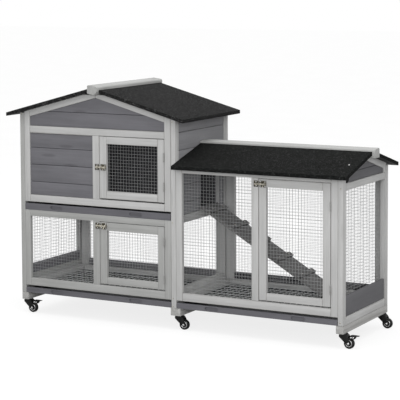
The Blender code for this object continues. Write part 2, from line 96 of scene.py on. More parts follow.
# Heights of the front frames' rails and places of their posts.
SILL = (0.0582, 0.0885)
MIDDLE_RAIL = (0.3423, 0.3675)
UPPER_SILL = (0.4016, 0.4303)
GABLE_RAIL = (0.6835, 0.7105)
RUN_HEAD = (0.5551, 0.578)
MIDDLE_POST = (0.344, 0.3748)
LOWER_RIGHT_POST = (0.6708, 0.6984)
CROWN = 0.8443  # level tops of the house's rakes, under the ridge board

RANDOM = random.Random(7)


# -------- node material kit


class Nodes:
    """A short way to write a material's node tree."""

    def __init__(self, name):
        self.material = bpy.data.materials.new(name)
        self.material.use_nodes = True
        self.tree = self.material.node_tree
        self.shader = self.tree.nodes["Principled BSDF"]

    def add(self, kind, settings=None, **inputs):
        node = self.tree.nodes.new("ShaderNode" + kind)
        for key, value in (settings or {}).items():
            setattr(node, key, value)
        for key, value in inputs.items():
            self.link(value, node.inputs[key.replace("_", " ")])
        return node

    def link(self, value, socket):
        if isinstance(value, bpy.types.NodeSocket):
            self.tree.links.new(value, socket)
        else:
            socket.default_value = value

    def grain(self, *scale):
        """The piece's own grain coordinates, stretched: along the grain, across it and through it."""
        held = self.add("Attribute", {"attribute_name": "grain"})
        return self.add("Mapping", Vector=held.outputs["Vector"], Scale=scale).outputs["Vector"]

    def noise(self, vector=None, scale=1.0, detail=3.0, roughness=0.55, distortion=0.0):
        """Noise over a vector, or over the piece's own coordinates."""
        vector = vector or self.add("TexCoord").outputs["Object"]
        node = self.add("TexNoise", Vector=vector, Scale=scale, Detail=detail, Roughness=roughness)
        node.inputs["Distortion"].default_value = distortion
        return node.outputs["Fac"]

    def ramp(self, factor, *stops):
        """A colour ramp through (position, colour or grey level) stops."""
        node = self.add("ValToRGB", Fac=factor)
        ramp = node.color_ramp
        while len(ramp.elements) < len(stops):
            ramp.elements.new(0.5)
        for element, (position, colour) in zip(ramp.elements, stops):
            element.position = position
            element.color = (*colour, 1) if isinstance(colour, tuple) else (colour, colour, colour, 1)
        return node.outputs["Color"]

    def mix(self, factor, first, second, blend="MIX"):
        node = self.add("Mix", {"data_type": "RGBA", "blend_type": blend})
        for value, index in ((factor, 0), (first, 6), (second, 7)):
            if isinstance(value, tuple):
                value = (*value, 1)
            self.link(value, node.inputs[index])
        return node.outputs[2]

    def math(self, operation, first, second=0.0):
        node = self.add("Math", {"operation": operation})
        self.link(first, node.inputs[0])
        self.link(second, node.inputs[1])
        return node.outputs[0]

    def finish(self, colour, roughness, height=None, depth=0.0, metallic=0.0):
        self.link(colour, self.shader.inputs["Base Color"])
        self.link(roughness, self.shader.inputs["Roughness"])
        self.shader.inputs["Metallic"].default_value = metallic
        if height is not None:
            bump = self.add("Bump", Height=height, Distance=depth, Strength=1.0)
            self.link(bump.outputs["Normal"], self.shader.inputs["Normal"])
        return self.material


def timber(name, light, dark, contrast, roughness=0.72, knots=0.5, streaks=1.0):
    """Softwood under a thin stain: growth streaks, faint mottling, pores and a few knots."""
    kit = Nodes(name)
    bands = kit.noise(kit.grain(2.2, 95, 95), detail=4, roughness=0.6, distortion=0.6)
    pores = kit.noise(kit.grain(14, 900, 900), detail=2, roughness=0.7)
    mottle = kit.noise(kit.grain(5, 22, 22), detail=3)
    knot_cells = kit.add("TexVoronoi", {"feature": "F1"}, Vector=kit.grain(3.2, 17, 17), Scale=1.0)
    knot = kit.ramp(knot_cells.outputs["Distance"], (0.0, 1.0), (0.085, 0.75), (0.14, 0.0))
    tone = kit.math("ADD", kit.math("MULTIPLY", bands, streaks), kit.math("MULTIPLY", mottle, 0.5))
    low, high = 0.62 * streaks + 0.1, 0.62 * streaks + 0.32
    colour = kit.mix(kit.ramp(tone, (low - contrast, 0.0), (high, 1.0)), dark, light)
    shade = tuple(channel * 0.45 for channel in dark)
    colour = kit.mix(kit.math("MULTIPLY", knot, knots), colour, shade)
    colour = kit.mix(kit.ramp(pores, (0.30, 0.35), (0.48, 0.0)), colour, dark)
    rough = kit.math("ADD", kit.math("MULTIPLY", bands, 0.25), roughness - 0.12)
    height = kit.math("ADD", kit.math("MULTIPLY", pores, 0.4), kit.math("MULTIPLY", bands, 0.6))
    kit.shader.inputs["Specular IOR Level"].default_value = 0.25
    return kit.finish(colour, rough, height, 0.0007)


def felt(name, base, fleck):
    """Bitumen felt faced with fine mineral grit, a little faded in broad patches."""
    kit = Nodes(name)
    grit = kit.noise(scale=900, detail=2, roughness=0.7)
    patches = kit.noise(scale=9, detail=3)
    chips = kit.ramp(kit.noise(scale=230, detail=2), (0.56, 0.0), (0.68, 1.0))
    clumps = kit.ramp(kit.noise(scale=110, detail=2), (0.38, 0.70), (0.62, 1.25))
    colour = kit.mix(kit.ramp(patches, (0.3, 0.0), (0.75, 1.0)), base, tuple(c * 1.35 for c in base))
    colour = kit.mix(kit.ramp(grit, (0.35, 0.0), (0.65, 1.0)), tuple(c * 0.6 for c in base), colour)
    colour = kit.mix(kit.math("MULTIPLY", chips, 0.55), colour, fleck)
    colour = kit.mix(1.0, colour, clumps, "MULTIPLY")
    kit.shader.inputs["Specular IOR Level"].default_value = 0.08
    return kit.finish(colour, kit.ramp(grit, (0.3, 0.82), (0.7, 1.0)), grit, 0.0012)


def metal(name, light, dark, roughness, metallic=1.0, scale=260):
    """Plated or galvanised steel: spangle, small stains and a finish that varies. At high contrast the
    mottling paints glints and shade.
    """
    kit = Nodes(name)
    spangle = kit.noise(scale=scale, detail=3)
    colour = kit.mix(kit.ramp(spangle, (0.35, 0.0), (0.65, 1.0)), dark, light)
    rough = kit.ramp(spangle, (0.3, roughness - 0.08), (0.7, roughness + 0.12))
    return kit.finish(colour, rough, spangle, 0.0002, metallic)


def moulded(name, colour, roughness):
    """Injection-moulded plastic with a fine spark texture and dusty scuffs."""
    kit = Nodes(name)
    spark = kit.noise(scale=1800, detail=1)
    dust = kit.noise(scale=60, detail=4)
    worn = tuple(min(1.0, channel * 2.2 + 0.01) for channel in colour)
    shade = kit.mix(kit.ramp(dust, (0.48, 0.0), (0.80, 0.6)), colour, worn)
    kit.shader.inputs["Specular IOR Level"].default_value = 0.25
    return kit.finish(shade, kit.ramp(dust, (0.3, roughness), (0.8, roughness + 0.2)), spark, 0.0001)


WHITEWASH = timber(
    "whitewashed_timber", (0.56, 0.56, 0.555), (0.42, 0.42, 0.415), 0.16, knots=0.15, streaks=0.6
)
WORN = timber("whitewash_worn_edge", (0.50, 0.50, 0.49), (0.34, 0.335, 0.325), 0.16, knots=0.1)
# A greyer copy of the whitewash: partly a thinner coat, partly painted shade on the lower and side timbers.
GREYER_COAT_AND_SHADE = timber(
    "thin_whitewash_and_painted_shade", (0.435, 0.438, 0.430), (0.325, 0.327, 0.318), 0.16, knots=0.2, streaks=0.6
)
STAIN = timber(
    "grey_stained_board", (0.182, 0.180, 0.196), (0.128, 0.127, 0.138), 0.14, knots=0.45, streaks=0.45
)
# A lighter copy of the grey stain for the side walls' boards: painted light on the side faces.
LIT_SIDE_STAIN = timber(
    "side_board_painted_light", (0.285, 0.284, 0.296), (0.205, 0.205, 0.215), 0.14, knots=0.4, streaks=0.45
)
# A darker copy of the grey stain for the run's end boards: painted shade.
SHADED_END_STAIN = timber(
    "end_board_painted_shade", (0.150, 0.149, 0.157), (0.110, 0.110, 0.117), 0.14, knots=0.3, streaks=0.45
)
TRAY_WOOD = timber(
    "tray_timber", (0.155, 0.153, 0.168), (0.108, 0.107, 0.118), 0.14, knots=0.2, streaks=0.45
)
# A darker copy of the grey stain for the back walls' inner faces: painted shade of the dark cabin.
SHADED_INNER_STAIN = timber(
    "inner_board_painted_shade", (0.055, 0.054, 0.059), (0.035, 0.034, 0.038), 0.14, knots=0.3, streaks=0.45
)
RAMP_WOOD = timber("ramp_timber", (0.200, 0.198, 0.196), (0.125, 0.124, 0.122), 0.16, knots=0.3)
# Near-black timber: the roof ply's underside is painted shade under the eaves. Its thin strips in the
# partition's gap and under the ramp's cleats are painted shadow.
DARK_TIMBER_SHADE = timber("roof_underside", (0.045, 0.045, 0.045), (0.022, 0.022, 0.022), 0.15, knots=0.4)
HOUSE_FELT = felt("house_felt", (0.018, 0.018, 0.0182), (0.13, 0.13, 0.13))
# The run's felt is a darker copy of the house's felt: painted shade.
SHADED_RUN_FELT = felt("run_felt_painted_shade", (0.0078, 0.0085, 0.0081), (0.08, 0.08, 0.08))
# Mid-grey galvanised steel for the walls' and doors' wire, darker than the floor's wire: partly painted
# shade.
GALVANISED_AND_SHADE = metal("galvanised_steel_and_painted_shade", (0.47, 0.475, 0.48), (0.33, 0.335, 0.34), 0.42, 0.2)
FLOOR_MESH = metal("floor_mesh_steel", (0.74, 0.76, 0.75), (0.52, 0.535, 0.53), 0.42, 0.2)
# Zinc with very light and very dark mottling: painted glints and painted shade on the latches and screws.
ZINC_GLINTS_AND_SHADE = metal("antique_zinc", (0.86, 0.82, 0.70), (0.10, 0.09, 0.07), 0.34, 0.5, 330)
BRONZE = metal("blackened_zinc", (0.16, 0.145, 0.105), (0.012, 0.010, 0.008), 0.40, 0.6, 300)
IRON = metal("dull_zinc", (0.42, 0.42, 0.41), (0.26, 0.26, 0.25), 0.42, 0.3, 300)
CHROME = metal("bright_plate", (0.85, 0.85, 0.85), (0.70, 0.70, 0.70), 0.25, 0.85)
BLACK = moulded("black_plastic", (0.007, 0.007, 0.007), 0.38)
TYRE = moulded("wheel_plastic", (0.010, 0.010, 0.010), 0.45)
# The pan is near black, far darker than bare steel.
PAN = metal("tray_pan_steel", (0.020, 0.021, 0.021), (0.010, 0.0105, 0.0105), 0.55, 0.1, 120)


# -------- shapes

AXES = {"x": Vector((1, 0, 0)), "y": Vector((0, 1, 0)), "z": Vector((0, 0, 1))}


def place(plane, u, v, w):
    """A point of a drawing plane, w being the distance along the third axis."""
    return {"xz": Vector((u, w, v)), "yz": Vector((w, u, v)), "xy": Vector((u, v, w))}[plane]


def laid(axis, centre):
    """The move that lays a shape's own z along an axis, centred on a point."""
    turn = Vector(axis).to_track_quat("Z", "Y").to_matrix().to_4x4()
    turn.translation = Vector(centre)
    return turn


class Piece:
    """Gathers solids, each with its own grain, into one object that rides on a body."""

    def __init__(self, name, wood=(WHITEWASH, WORN)):
        self.name = name
        self.wood = wood
        self.shape = bmesh.new()
        self.grain = self.shape.verts.layers.float_vector.new("grain")
        self.materials = []

    def index(self, material):
        if material not in self.materials:
            self.materials.append(material)
        return self.materials.index(material)

    def add(self, part, material, along="x", edge=None, turn=None):
        """Adds a small bmesh, writes its grain coordinates and frees it."""
        if turn is not None:
            bmesh.ops.transform(part, matrix=turn, verts=part.verts)
        along = AXES[along] if isinstance(along, str) else along.normalized()
        side = along.cross(AXES["z"] if abs(along.z) < 0.9 else AXES["x"]).normalized()
        third = along.cross(side)
        shift = Vector(RANDOM.uniform(0, 20) for _ in range(3))
        layer = part.verts.layers.float_vector.new("grain")
        for vert in part.verts:
            spot = Vector((vert.co.dot(along), vert.co.dot(side), vert.co.dot(third)))
            vert[layer] = spot + shift
        slots = (self.index(material), self.index(edge or material))
        for face in part.faces:
            face.material_index = slots[1] if face.material_index == 1 else slots[0]
        held = bpy.data.meshes.new("held")
        part.to_mesh(held)
        part.free()
        self.shape.from_mesh(held)
        bpy.data.meshes.remove(held)

    def prism(self, plane, outline, start, thickness, material, along="x", bevel=0.0012, edge=None):
        """A prism on an outline, with its edges eased."""
        part = bmesh.new()
        ring = [part.verts.new(place(plane, u, v, start)) for u, v in outline]
        face = part.faces.new(ring)
        grown = bmesh.ops.extrude_face_region(part, geom=[face])
        moved = [item for item in grown["geom"] if isinstance(item, bmesh.types.BMVert)]
        bmesh.ops.translate(part, verts=moved, vec=place(plane, 0, 0, thickness))
        bmesh.ops.recalc_face_normals(part, faces=part.faces)
        if bevel:
            sharp = [item for item in part.edges if item.calc_face_angle(0) > 0.5]
            marked = 1 if edge else -1
            bmesh.ops.bevel(
                part, geom=sharp, offset=bevel, segments=2, profile=0.6, affect="EDGES", material=marked
            )
        self.add(part, material, along, edge)

    def bar(self, x, y, z, material=None, along=None, bevel=0.0012):
        """A bar between two corners; its grain runs along its longest side unless it is told otherwise."""
        sizes = {"x": x[1] - x[0], "y": y[1] - y[0], "z": z[1] - z[0]}
        along = along or max(sizes, key=sizes.get)
        material, edge = (material, None) if material else self.wood
        self.prism("xz", rectangle(x, z), y[0], sizes["y"], material, along, bevel, edge)

    def rod(self, start, end, radius, material, segments, bevel=0.0):
        start, end = Vector(start), Vector(end)
        part = bmesh.new()
        depth = (end - start).length
        bmesh.ops.create_cone(
            part, cap_ends=True, segments=segments, radius1=radius, radius2=radius, depth=depth
        )
        if bevel:
            rims = [item for item in part.edges if item.calc_face_angle(0) > 0.9]
            bmesh.ops.bevel(part, geom=rims, offset=bevel, segments=2, profile=0.6, affect="EDGES")
        self.add(part, material, end - start, turn=laid(end - start, (start + end) / 2))

    def ring(self, centre, axis, major, minor, material, steps):
        """A torus about an axis."""
        part = bmesh.new()
        verts = [Vector((major + minor * math.cos(t), 0, minor * math.sin(t))) for t in turns(steps[1])]
        loop = [part.verts.new(v) for v in verts]
        edges = [part.edges.new((loop[i - 1], loop[i])) for i in range(len(loop))]
        self.spun(part, loop + edges, centre, axis, material, steps[0])

    def turned(self, centre, axis, profile, material, steps):
        """A solid of revolution: profile is (distance along the axis, radius) from end to end."""
        part = bmesh.new()
        verts = [part.verts.new((radius, 0, along)) for along, radius in profile]
        edges = [part.edges.new((verts[i], verts[i + 1])) for i in range(len(verts) - 1)]
        self.spun(part, verts + edges, centre, axis, material, steps)

    def spun(self, part, geom, centre, axis, material, steps):
        """Turns a profile once round z and lays that along the axis."""
        bmesh.ops.spin(
            part, geom=geom, cent=(0, 0, 0), axis=(0, 0, 1), angle=math.tau, steps=steps, use_merge=True
        )
        bmesh.ops.remove_doubles(part, verts=part.verts, dist=1e-6)
        bmesh.ops.recalc_face_normals(part, faces=part.faces)
        self.add(part, material, Vector(axis), turn=laid(axis, centre))

    def screw(self, spot, axis, radius, material=ZINC_GLINTS_AND_SHADE):
        """A countersunk screw's head, flush with the wood."""
        profile = [(-0.0008, 0.0), (-0.0008, radius), (0.0002, radius), (0.0006, radius * 0.8), (0.0007, 0)]
        self.turned(spot, axis, profile, material, 16)

    def done(self, body, slot, *nodes):
        mesh = bpy.data.meshes.new(self.name)
        self.shape.to_mesh(mesh)
        self.shape.free()
        for material in self.materials:
            mesh.materials.append(material)
        for polygon in mesh.polygons:
            polygon.use_smooth = True
        mesh.set_sharp_from_angle(angle=math.radians(40))
        ridden(self.name, mesh, body, slot, *nodes)


def shown(name, data):
    obj = bpy.data.objects.new(name, data)
    bpy.context.scene.collection.objects.link(obj)
    return obj


def ridden(name, data, body, slot, *nodes):
    """Shows a piece on its body, in place of the CAD nodes it stands for."""
    obj = shown(name, data)
    obj.location = CORNER
    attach(obj, body)
    if nodes:
        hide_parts(*nodes)


def turns(count):
    return [math.tau * step / count for step in range(count)]


def rectangle(u, v):
    return [(u[0], v[0]), (u[1], v[0]), (u[1], v[1]), (u[0], v[1])]


def rounded(corners, steps=5):
    """The outline through (u, v, radius) corners, each rounded by its own radius."""
    outline = []
    for number, (u, v, radius) in enumerate(corners):
        corner = Vector((u, v))
        if radius == 0:
            outline.append(corner)
            continue
        following = corners[(number + 1) % len(corners)]
        before = (Vector(corners[number - 1][:2]) - corner).normalized()
        after = (Vector(following[:2]) - corner).normalized()
        half = before.angle(after) / 2
        centre = corner + (before + after).normalized() * radius / math.sin(half)
        first = corner + before * radius / math.tan(half) - centre
        last = corner + after * radius / math.tan(half) - centre
        sweep = math.atan2(first.cross(last), first.dot(last))
        for step in range(steps + 1):
            outline.append(centre + Matrix.Rotation(sweep * step / steps, 2) @ first)
    return outline


def house_under(x):
    return HOUSE_RIDGE[1] - abs(x - HOUSE_RIDGE[0]) * HOUSE_SLOPE - ROOF - 0.0006


def run_under(y):
    return RUN_RIDGE[1] - abs(y - RUN_RIDGE[0]) * RUN_SLOPE - ROOF - 0.0006


# -------- timber frames

SEAM = 0.0003  # a hairline between two bars that meet
V_JOINT = 0.0014  # the open bottom of the joint between two boards
RAIL_TOP = 0.097  # top of the side frames' bottom rails
KICK_TOP = 0.135  # top of the side and end kick boards
BACK_KICK_TOP = 0.102
SIDE_Y = (0.026, 0.410)  # between the left frame's posts
PARTITION_Y = (0.027, 0.408)
UPPER_Z = (0.383, 0.748)  # between the cabin's side rails
BAY_X = (0.0465, 0.671)  # between the cabin's front posts
PLANKS_X = (BAY_X[0], MIDDLE_POST[0])
HOUSE_GABLE = [(BAY_X[0], GABLE_RAIL[1]), (BAY_X[1], GABLE_RAIL[1]), (BAY_X[1], UPPER_Z[1])]
HOUSE_GABLE += [(HOUSE_RIDGE[0], 0.832), (BAY_X[0], UPPER_Z[1])]
RUN_GABLE = [(0.046, 0.5518), (0.394, 0.5518), (0.394, 0.568), (RUN_RIDGE[0], 0.617), (0.046, 0.568)]


def make_house_upper_front():
    piece = Piece("upper_front_timbers")
    thickness = FRONT[1]
    left, right = BAY_X
    for post in ((SIDE + SEAM, left), (right, LOWER_RIGHT_POST[1])):
        piece.prism("xz", stile_top(*post, UPPER_SILL[0]), 0, thickness, WHITEWASH, "z", edge=WORN)
    inner = (left + SEAM, right - SEAM)
    piece.bar(inner, FRONT, UPPER_SILL)
    piece.bar(inner, FRONT, GABLE_RAIL)
    piece.bar(MIDDLE_POST, FRONT, (UPPER_SILL[1] + SEAM, GABLE_RAIL[0] - SEAM))
    piece.bar((left + SEAM, MIDDLE_POST[0] - SEAM), FRONT, (0.6812, 0.6834))
    tail_z, peak = HOUSE_GABLE[2][1], HOUSE_GABLE[3][1]
    reach = (house_under(HOUSE_RIDGE[0]) - CROWN) / HOUSE_SLOPE
    for side, tail in ((-1, left), (1, right)):
        middle = HOUSE_RIDGE[0] + side * SEAM
        outline = [(tail, tail_z), (middle, peak), (middle, CROWN)]
        outline += [(HOUSE_RIDGE[0] + side * reach, CROWN), (tail, house_under(tail))]
        slope = Vector((1, 0, -side * HOUSE_SLOPE))
        piece.prism("xz", outline, 0, thickness, WHITEWASH, slope, edge=WORN)
    piece.done("hutch", "whitewashed_wood", "house_upper_front_frame")


def stile_top(left, right, bottom):
    """A post whose top follows the house's roof."""
    return [(left, bottom), (right, bottom), (right, house_under(right)), (left, house_under(left))]


def front_frame(piece, posts, heads, middle):
    """A front frame: outer posts, a sill and a head between them, and a middle post between those."""
    for post in posts:
        piece.bar(post, FRONT, (SILL[0], heads[1]))
    inner = (posts[0][1] + SEAM, posts[1][0] - SEAM)
    piece.bar(inner, FRONT, SILL)
    piece.bar(inner, FRONT, heads)
    piece.bar(middle, FRONT, (SILL[1] + SEAM, heads[0] - SEAM))


def make_house_lower_front():
    # The lower front takes the greyer whitewash: thinner coat and painted shade.
    piece = Piece("lower_front_timbers", (GREYER_COAT_AND_SHADE, GREYER_COAT_AND_SHADE))
    front_frame(piece, ((SIDE + SEAM, 0.0452), LOWER_RIGHT_POST), MIDDLE_RAIL, MIDDLE_POST)
    piece.done("hutch", "whitewashed_wood", "house_lower_front_frame")


def make_run_front():
    piece = Piece("run_front_timbers")
    front_frame(piece, ((0.7209, 0.7483), (1.3708, 1.3980)), RUN_HEAD, (1.0462, 1.0748))
    piece.done("hutch", "whitewashed_wood", "run_front_frame")


def side_wall(name, x, stile_y, skid_x, runner_x, kick_top, node):
    """A side frame: two posts, rails, its skid and the batten that carries the upper tray."""
    outer = x[0] < 0.1
    # The outer side wall takes the greyer whitewash: thinner coat and painted shade.
    piece = Piece(name, (GREYER_COAT_AND_SHADE, GREYER_COAT_AND_SHADE) if outer else (WHITEWASH, WORN))
    top = house_under(0 if outer else HOUSE)
    low, high = stile_y
    piece.bar(x, (0, low), (FEET, top))
    piece.bar(x, (high, POST_BACK), (FEET, top))
    rails = (low + SEAM, high - SEAM)
    piece.bar(x, rails, (FEET, min(kick_top, RAIL_TOP)))
    if kick_top > RAIL_TOP:
        piece.bar(wider(x, -0.004), rails, (RAIL_TOP + 0.0005, kick_top), STAIN, "y")
    piece.bar(x, rails, (0.352, UPPER_Z[0]))
    piece.bar(x, rails, (UPPER_Z[1], top))
    piece.bar(skid_x, SKID_Y, (SOLE, SKID), WORN)
    piece.bar(runner_x, (0.031, SIDE_Y[1]), (0.3553, MIDDLE_RAIL[1]))
    piece.done("hutch", "whitewashed_wood", node)


def wider(pair, by):
    return (pair[0] - by, pair[1] + by)


def make_side_walls():
    left = ((0, SIDE), SIDE_Y, (-0.0005, 0.030), (0.0203, 0.034), KICK_TOP)
    side_wall("left_wall_timbers", *left, "house_left_frame")
    partition = ((0.6992, HOUSE), PARTITION_Y, (0.695, 0.738), (0.686, 0.6990), RAIL_TOP)
    side_wall("partition_timbers", *partition, "house_partition_frame")


def make_run_end():
    piece = Piece("run_end_timbers")
    x = (1.3984, LENGTH)
    sill = RUN_GABLE[0][1] + SEAM
    posts = ((0, SIDE_Y[0], FEET), (SIDE_Y[1], POST_BACK, FEET))
    blocks = ((SIDE_Y[0] + SEAM, 0.0457, sill), (0.3943, SIDE_Y[1] - SEAM, sill))
    for low, high, foot in posts + blocks:
        outline = [(low, foot), (high, foot), (high, run_under(high)), (low, run_under(low))]
        piece.prism("yz", outline, x[0], x[1] - x[0], WHITEWASH, "z", edge=WORN)
    rails = (SIDE_Y[0] + SEAM, SIDE_Y[1] - SEAM)
    piece.bar(x, rails, (FEET, 0.0564))
    piece.bar(x, rails, (0.5255, RUN_GABLE[0][1]))
    crown, ridge = 0.6250, RUN_RIDGE[0]
    reach = (run_under(ridge) - crown) / RUN_SLOPE
    for side, (tail, tail_z) in ((-1, RUN_GABLE[4]), (1, RUN_GABLE[2])):
        middle = ridge + side * SEAM
        outline = [(tail, tail_z), (middle, RUN_GABLE[3][1]), (middle, crown), (ridge + side * reach, crown)]
        outline.append((tail, run_under(tail)))
        slope = Vector((0, 1, -side * RUN_SLOPE))
        piece.prism("yz", outline, x[0], x[1] - x[0], WHITEWASH, slope, edge=WORN)
    piece.bar((1.391, LENGTH + 0.0005), SKID_Y, (SOLE, SKID), WORN)
    piece.done("hutch", "whitewashed_wood", "run_end_frame")


def make_backs():
    """Both back frames with their boards. Inner faces take a darker copy of the stain, painted shade of the
    dark cabin.
    """
    height = (FEET, BACK_KICK_TOP)
    piece = Piece("house_back_timbers")
    left, right = 0.0555, 0.6744
    for low, high in ((0, left), (right, HOUSE)):
        outline = stile_top(low, high, FEET)
        piece.prism("xz", outline, BACK[0], BACK[1] - BACK[0], WHITEWASH, "z", edge=WORN)
    left, right = left + SEAM, right - SEAM
    piece.bar((left, right), BACK, MIDDLE_RAIL)
    piece.bar((left, right), wider(BACK, -RECESS), height, STAIN, "x")
    first = MIDDLE_RAIL[1] + SEAM
    outline = [(left, first), (right, first), (right, house_under(right))]
    reach = (house_under(HOUSE_RIDGE[0]) - CROWN) / HOUSE_SLOPE
    outline += [(HOUSE_RIDGE[0] + side * reach, CROWN) for side in (1, -1)] + [(left, house_under(left))]
    joints = [0.432, 0.496, 0.560, 0.624, 0.688, 0.752, 0.806]
    # The inner layer of boards takes the darker stain copy: painted shade.
    lay_boards(piece, "xz", outline, joints, 0.4225, 0.0072, "x", SHADED_INNER_STAIN)
    lay_boards(piece, "xz", outline, joints, 0.4300, 0.0075, "x")
    piece.done("hutch", "whitewashed_wood", "house_back_frame")
    piece = Piece("run_back_timbers")
    left, right = 0.7575, 1.374
    for post in ((HOUSE + SEAM, left), (right, LENGTH)):
        piece.bar(post, BACK, (FEET, RUN_HEAD[1]))
    inner = (left + SEAM, right - SEAM)
    middle = sum(BACK) / 2
    # The inner half of the run's back kick board takes the darker stain copy: painted shade.
    piece.bar(inner, (BACK[0] + RECESS, middle - SEAM), height, SHADED_INNER_STAIN, "x")
    piece.bar(inner, (middle, BACK[1] - RECESS), height, STAIN, "x")
    piece.bar(inner, BACK, (0.5534, RUN_HEAD[1]))
    piece.done("hutch", "whitewashed_wood", "run_back_frame")


# -------- boards


def clipped(outline, low, high):
    """The part of a convex outline between two heights."""
    for level, side in ((low, 1), (high, -1)):
        kept = []
        for (u0, v0), (u1, v1) in zip(outline, outline[1:] + outline[:1]):
            inside, following = (v0 - level) * side >= 0, (v1 - level) * side >= 0
            if inside:
                kept.append((u0, v0))
            if inside != following:
                kept.append((u0 + (u1 - u0) * (level - v0) / (v1 - v0), level))
        outline = kept
    return outline


def lay_boards(piece, plane, outline, joints, start, thickness, along, material=STAIN):
    """Fills a convex outline with horizontal boards that meet in V joints."""
    heights = [v for _, v in outline]
    levels = [min(heights), *(joint for joint in joints if min(heights) < joint < max(heights)), max(heights)]
    for low, high in zip(levels, levels[1:]):
        board = clipped(outline, low + V_JOINT / 2, high - V_JOINT / 2)
        piece.prism(plane, board, start, thickness, material, along, 0.0020)


def snug(outline):
    """An opening's outline drawn in by a hairline, for the boards that fill it."""
    centre = sum((Vector(corner) for corner in outline), Vector((0, 0))) / len(outline)
    return [tuple(Vector(corner) + (centre - Vector(corner)).normalized() * 2 * SEAM) for corner in outline]


def make_front_boards():
    piece = Piece("front_boards")
    planks = snug(rectangle(PLANKS_X, (UPPER_SILL[1], 0.6810)))
    thickness = FRONT[1] + 0.0020 - RECESS
    lay_boards(piece, "xz", planks, [0.484, 0.554, 0.6225], RECESS, thickness, "x")
    lay_boards(piece, "xz", snug(HOUSE_GABLE), [0.771], RECESS, thickness, "x")
    batten = (FRONT[1] + SEAM, FRONT[1] + 0.007)  # joins the planks and the gable boards from behind
    piece.bar((0.060, 0.330), batten, (0.660, 0.735), STAIN)
    piece.done("hutch", "grey_stained_wood", "house_front_boards")


def make_side_boards():
    joints = [0.431, 0.500, 0.569, 0.638, 0.7075]
    piece = Piece("left_wall_boarding")
    # The left wall's boards take the lighter stain copy: painted light.
    lay_boards(piece, "yz", snug(rectangle(SIDE_Y, UPPER_Z)), joints, RECESS, BOARD, "y", LIT_SIDE_STAIN)
    piece.done("hutch", "grey_stained_wood", "house_left_boards")
    piece = Piece("partition_boarding")
    outer = HOUSE - RECESS - BOARD
    low, high = UPPER_Z[0] + SEAM, UPPER_Z[1] - SEAM
    front, back = PARTITION_Y[0] + 0.0040, PARTITION_Y[1] - 0.0015
    door_y, door_top = (0.207, 0.385), 0.555
    beside, above = (low, door_top), (door_top, high)
    # The partition's boards take the lighter stain copy: painted light.
    for y, z in (((front, door_y[0]), beside), ((door_y[1], back), beside), ((front, back), above)):
        lay_boards(piece, "yz", rectangle(y, z), joints, outer, BOARD, "y", LIT_SIDE_STAIN)
    gap = (front - 0.0036, front - 0.0006)  # a strip of near-black timber fills it: painted shadow beside the post
    piece.bar((outer, outer + BOARD - 0.001), gap, (low, high), DARK_TIMBER_SHADE, "z", 0.0003)
    piece.done("hutch", "grey_stained_wood", "house_partition_boards")


def make_run_boards():
    outer = LENGTH - RECESS - BOARD
    piece = Piece("run_gable_boarding")
    # The run's gable boards take the darker stain copy: painted shade.
    lay_boards(piece, "yz", snug(RUN_GABLE), [0.588], outer, BOARD, "y", SHADED_END_STAIN)
    piece.done("hutch", "grey_stained_wood", "run_gable_boards")
    piece = Piece("end_kick_boarding")
    # The run's end kick board takes the darker stain copy: painted shade.
    lay_boards(piece, "yz", snug(rectangle(SIDE_Y, (0.0567, KICK_TOP))), [], outer, BOARD, "y", SHADED_END_STAIN)
    piece.done("hutch", "grey_stained_wood", "end_kick_board")


# -------- wire


# The wire's default steel is darkened partly as painted shade.
def wires(
    name, plane, u, v, at, body, slot, nodes=(), radius=WIRE, material=GALVANISED_AND_SHADE, pitches=(MESH, MESH)
):
    """Welded mesh: two layers of straight wires, one laid on the other."""
    curve = bpy.data.curves.new(name, "CURVE")
    curve.dimensions = "3D"
    curve.bevel_depth = radius
    curve.bevel_resolution = 1
    curve.use_fill_caps = True
    layers = ((u, v, at - radius * 0.9, pitches[0]), (v, u, at + radius * 0.9, pitches[1]))
    for span_a, span_b, depth, pitch in layers:
        upright = span_a is u
        count = int((span_a[1] - span_a[0] - 0.002) / pitch)
        first = (span_a[0] + span_a[1] - count * pitch) / 2
        for step in range(count + 1):
            line = first + step * pitch
            ends = [(line, end) if upright else (end, line) for end in span_b]
            spline = curve.splines.new("POLY")
            spline.points.add(1)
            for point, (a, b) in zip(spline.points, ends):
                point.co = (*place(plane, a, b, depth), 1)
    curve.materials.append(material)
    ridden(name, curve, body, slot, *nodes)


def make_wire():
    for part in ("house_front", "house_back", "house_left", "run_front", "run_back", "run_end"):
        name = part + "_mesh"
        x, y, z = span(name)
        plane, across, through = ("yz", y, x) if part in ("house_left", "run_end") else ("xz", x, y)
        wires(name + "_wires", plane, across, z, sum(through) / 2, "hutch", "galvanised_wire", [name])


FLOOR_WIRE = 0.0618  # height of the floors' wire


def make_floors():
    for name in ("house_floor", "run_floor"):
        x, y, _ = span(name)
        z = (0.060, 0.076)
        piece = Piece(name + "_timbers")
        inner_x, inner_y = wider(x, -0.036), wider(y, -0.036)
        piece.bar((x[0], inner_x[0]), y, z)
        piece.bar((inner_x[1], x[1]), y, z)
        rails = wider(inner_x, -SEAM)
        piece.bar(rails, (y[0], inner_y[0]), z)
        piece.bar(rails, (inner_y[1], y[1]), z)
        piece.done("hutch", "whitewashed_wood", name)
        reach_x, reach_y = wider(inner_x, 0.004), wider(inner_y, 0.004)
        panel = (name + "_wires", "xy", reach_x, reach_y, FLOOR_WIRE, "hutch", "galvanised_wire")
        wires(*panel, radius=0.0010, material=FLOOR_MESH, pitches=(2 * MESH, 3 * MESH))


# -------- roofs


